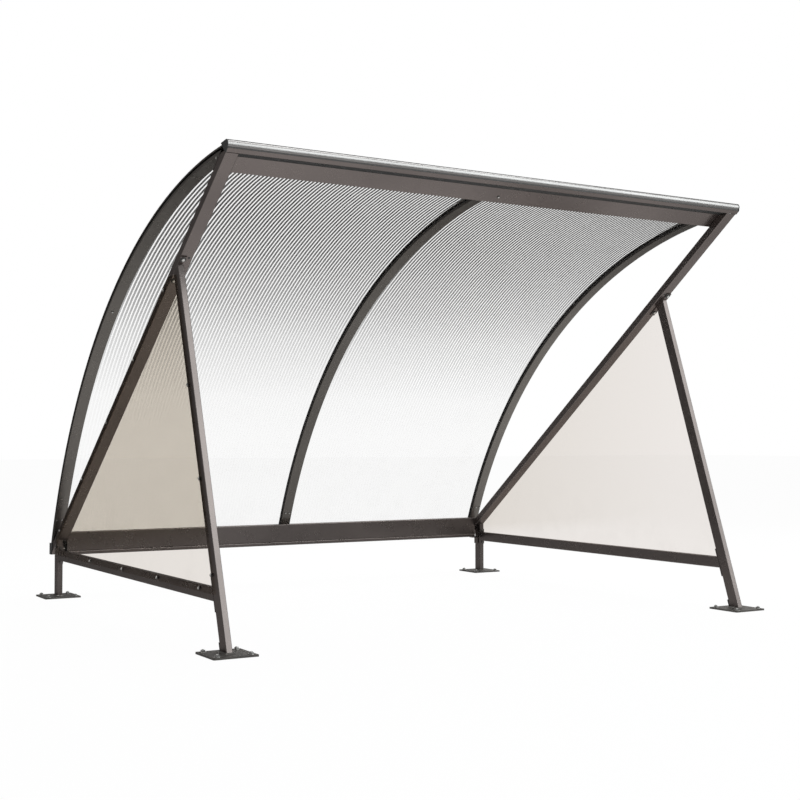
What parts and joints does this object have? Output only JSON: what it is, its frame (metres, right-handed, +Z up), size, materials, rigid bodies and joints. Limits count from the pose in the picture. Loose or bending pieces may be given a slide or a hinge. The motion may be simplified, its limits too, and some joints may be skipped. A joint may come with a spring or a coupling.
{
  "type": "bike shelter",
  "caption": "Open-front bike shelter: braced tube end frames on bolted feet, curved ribs with clear multiwall roof sheets and clear triangular side panels.",
  "frame": {"origin": "on the ground, at the centre of the overall footprint", "axes": "+X across the width to the right seen from the open front, -Y towards the open front, +Z up"},
  "size_m": [3.07, 2.5922, 2.1225],
  "materials": {
    "frame_paint": "satin powder coat, umber grey",
    "foot_paint": "satin powder coat, umber grey, scuffed",
    "profile_paint": "satin powder coat, umber grey",
    "end_plastic": "black moulded end plates",
    "roof_multiwall": "clear fluted multiwall sheet",
    "panel_clear": "clear flat sheet with a slight warm tint"
  },
  "bodies": {
    "root": {"corner_bracket_left": "frame_paint", "corner_bracket_right": "frame_paint", "cross_plate": "frame_paint", "diagonal_left": "frame_paint", "diagonal_right": "frame_paint", "front_beam": "frame_paint", "front_flashing": "profile_paint", "front_foot_left": "foot_paint", "front_foot_right": "foot_paint", "front_nose": "profile_paint", "front_strut_left": "frame_paint", "front_strut_right": "frame_paint", "nose_end_left": "end_plastic", "nose_end_right": "end_plastic", "rail_front_plate_left": "frame_paint", "rail_front_plate_right": "frame_paint", "rail_rear_plate_left": "frame_paint", "rail_rear_plate_right": "frame_paint", "rear_beam": "frame_paint", "rear_foot_left": "foot_paint", "rear_foot_right": "foot_paint", "rear_post_left": "frame_paint", "rear_post_right": "frame_paint", "rear_sill": "frame_paint", "rib_cap_left": "profile_paint", "rib_cap_middle": "profile_paint", "rib_cap_right": "profile_paint", "rib_end_left": "end_plastic", "rib_end_middle": "end_plastic", "rib_end_right": "end_plastic", "rib_foot_middle": "frame_paint", "rib_left": "profile_paint", "rib_middle": "profile_paint", "rib_right": "profile_paint", "rib_shoe_left": "profile_paint", "rib_shoe_middle": "profile_paint", "rib_shoe_right": "profile_paint", "roof_sheet_left": "roof_multiwall", "roof_sheet_right": "roof_multiwall", "side_panel_left": "panel_clear", "side_panel_right": "panel_clear", "side_rail_left": "frame_paint", "side_rail_right": "frame_paint", "strut_plate_left": "frame_paint", "strut_plate_right": "frame_paint"}
  },
  "joints": []
}
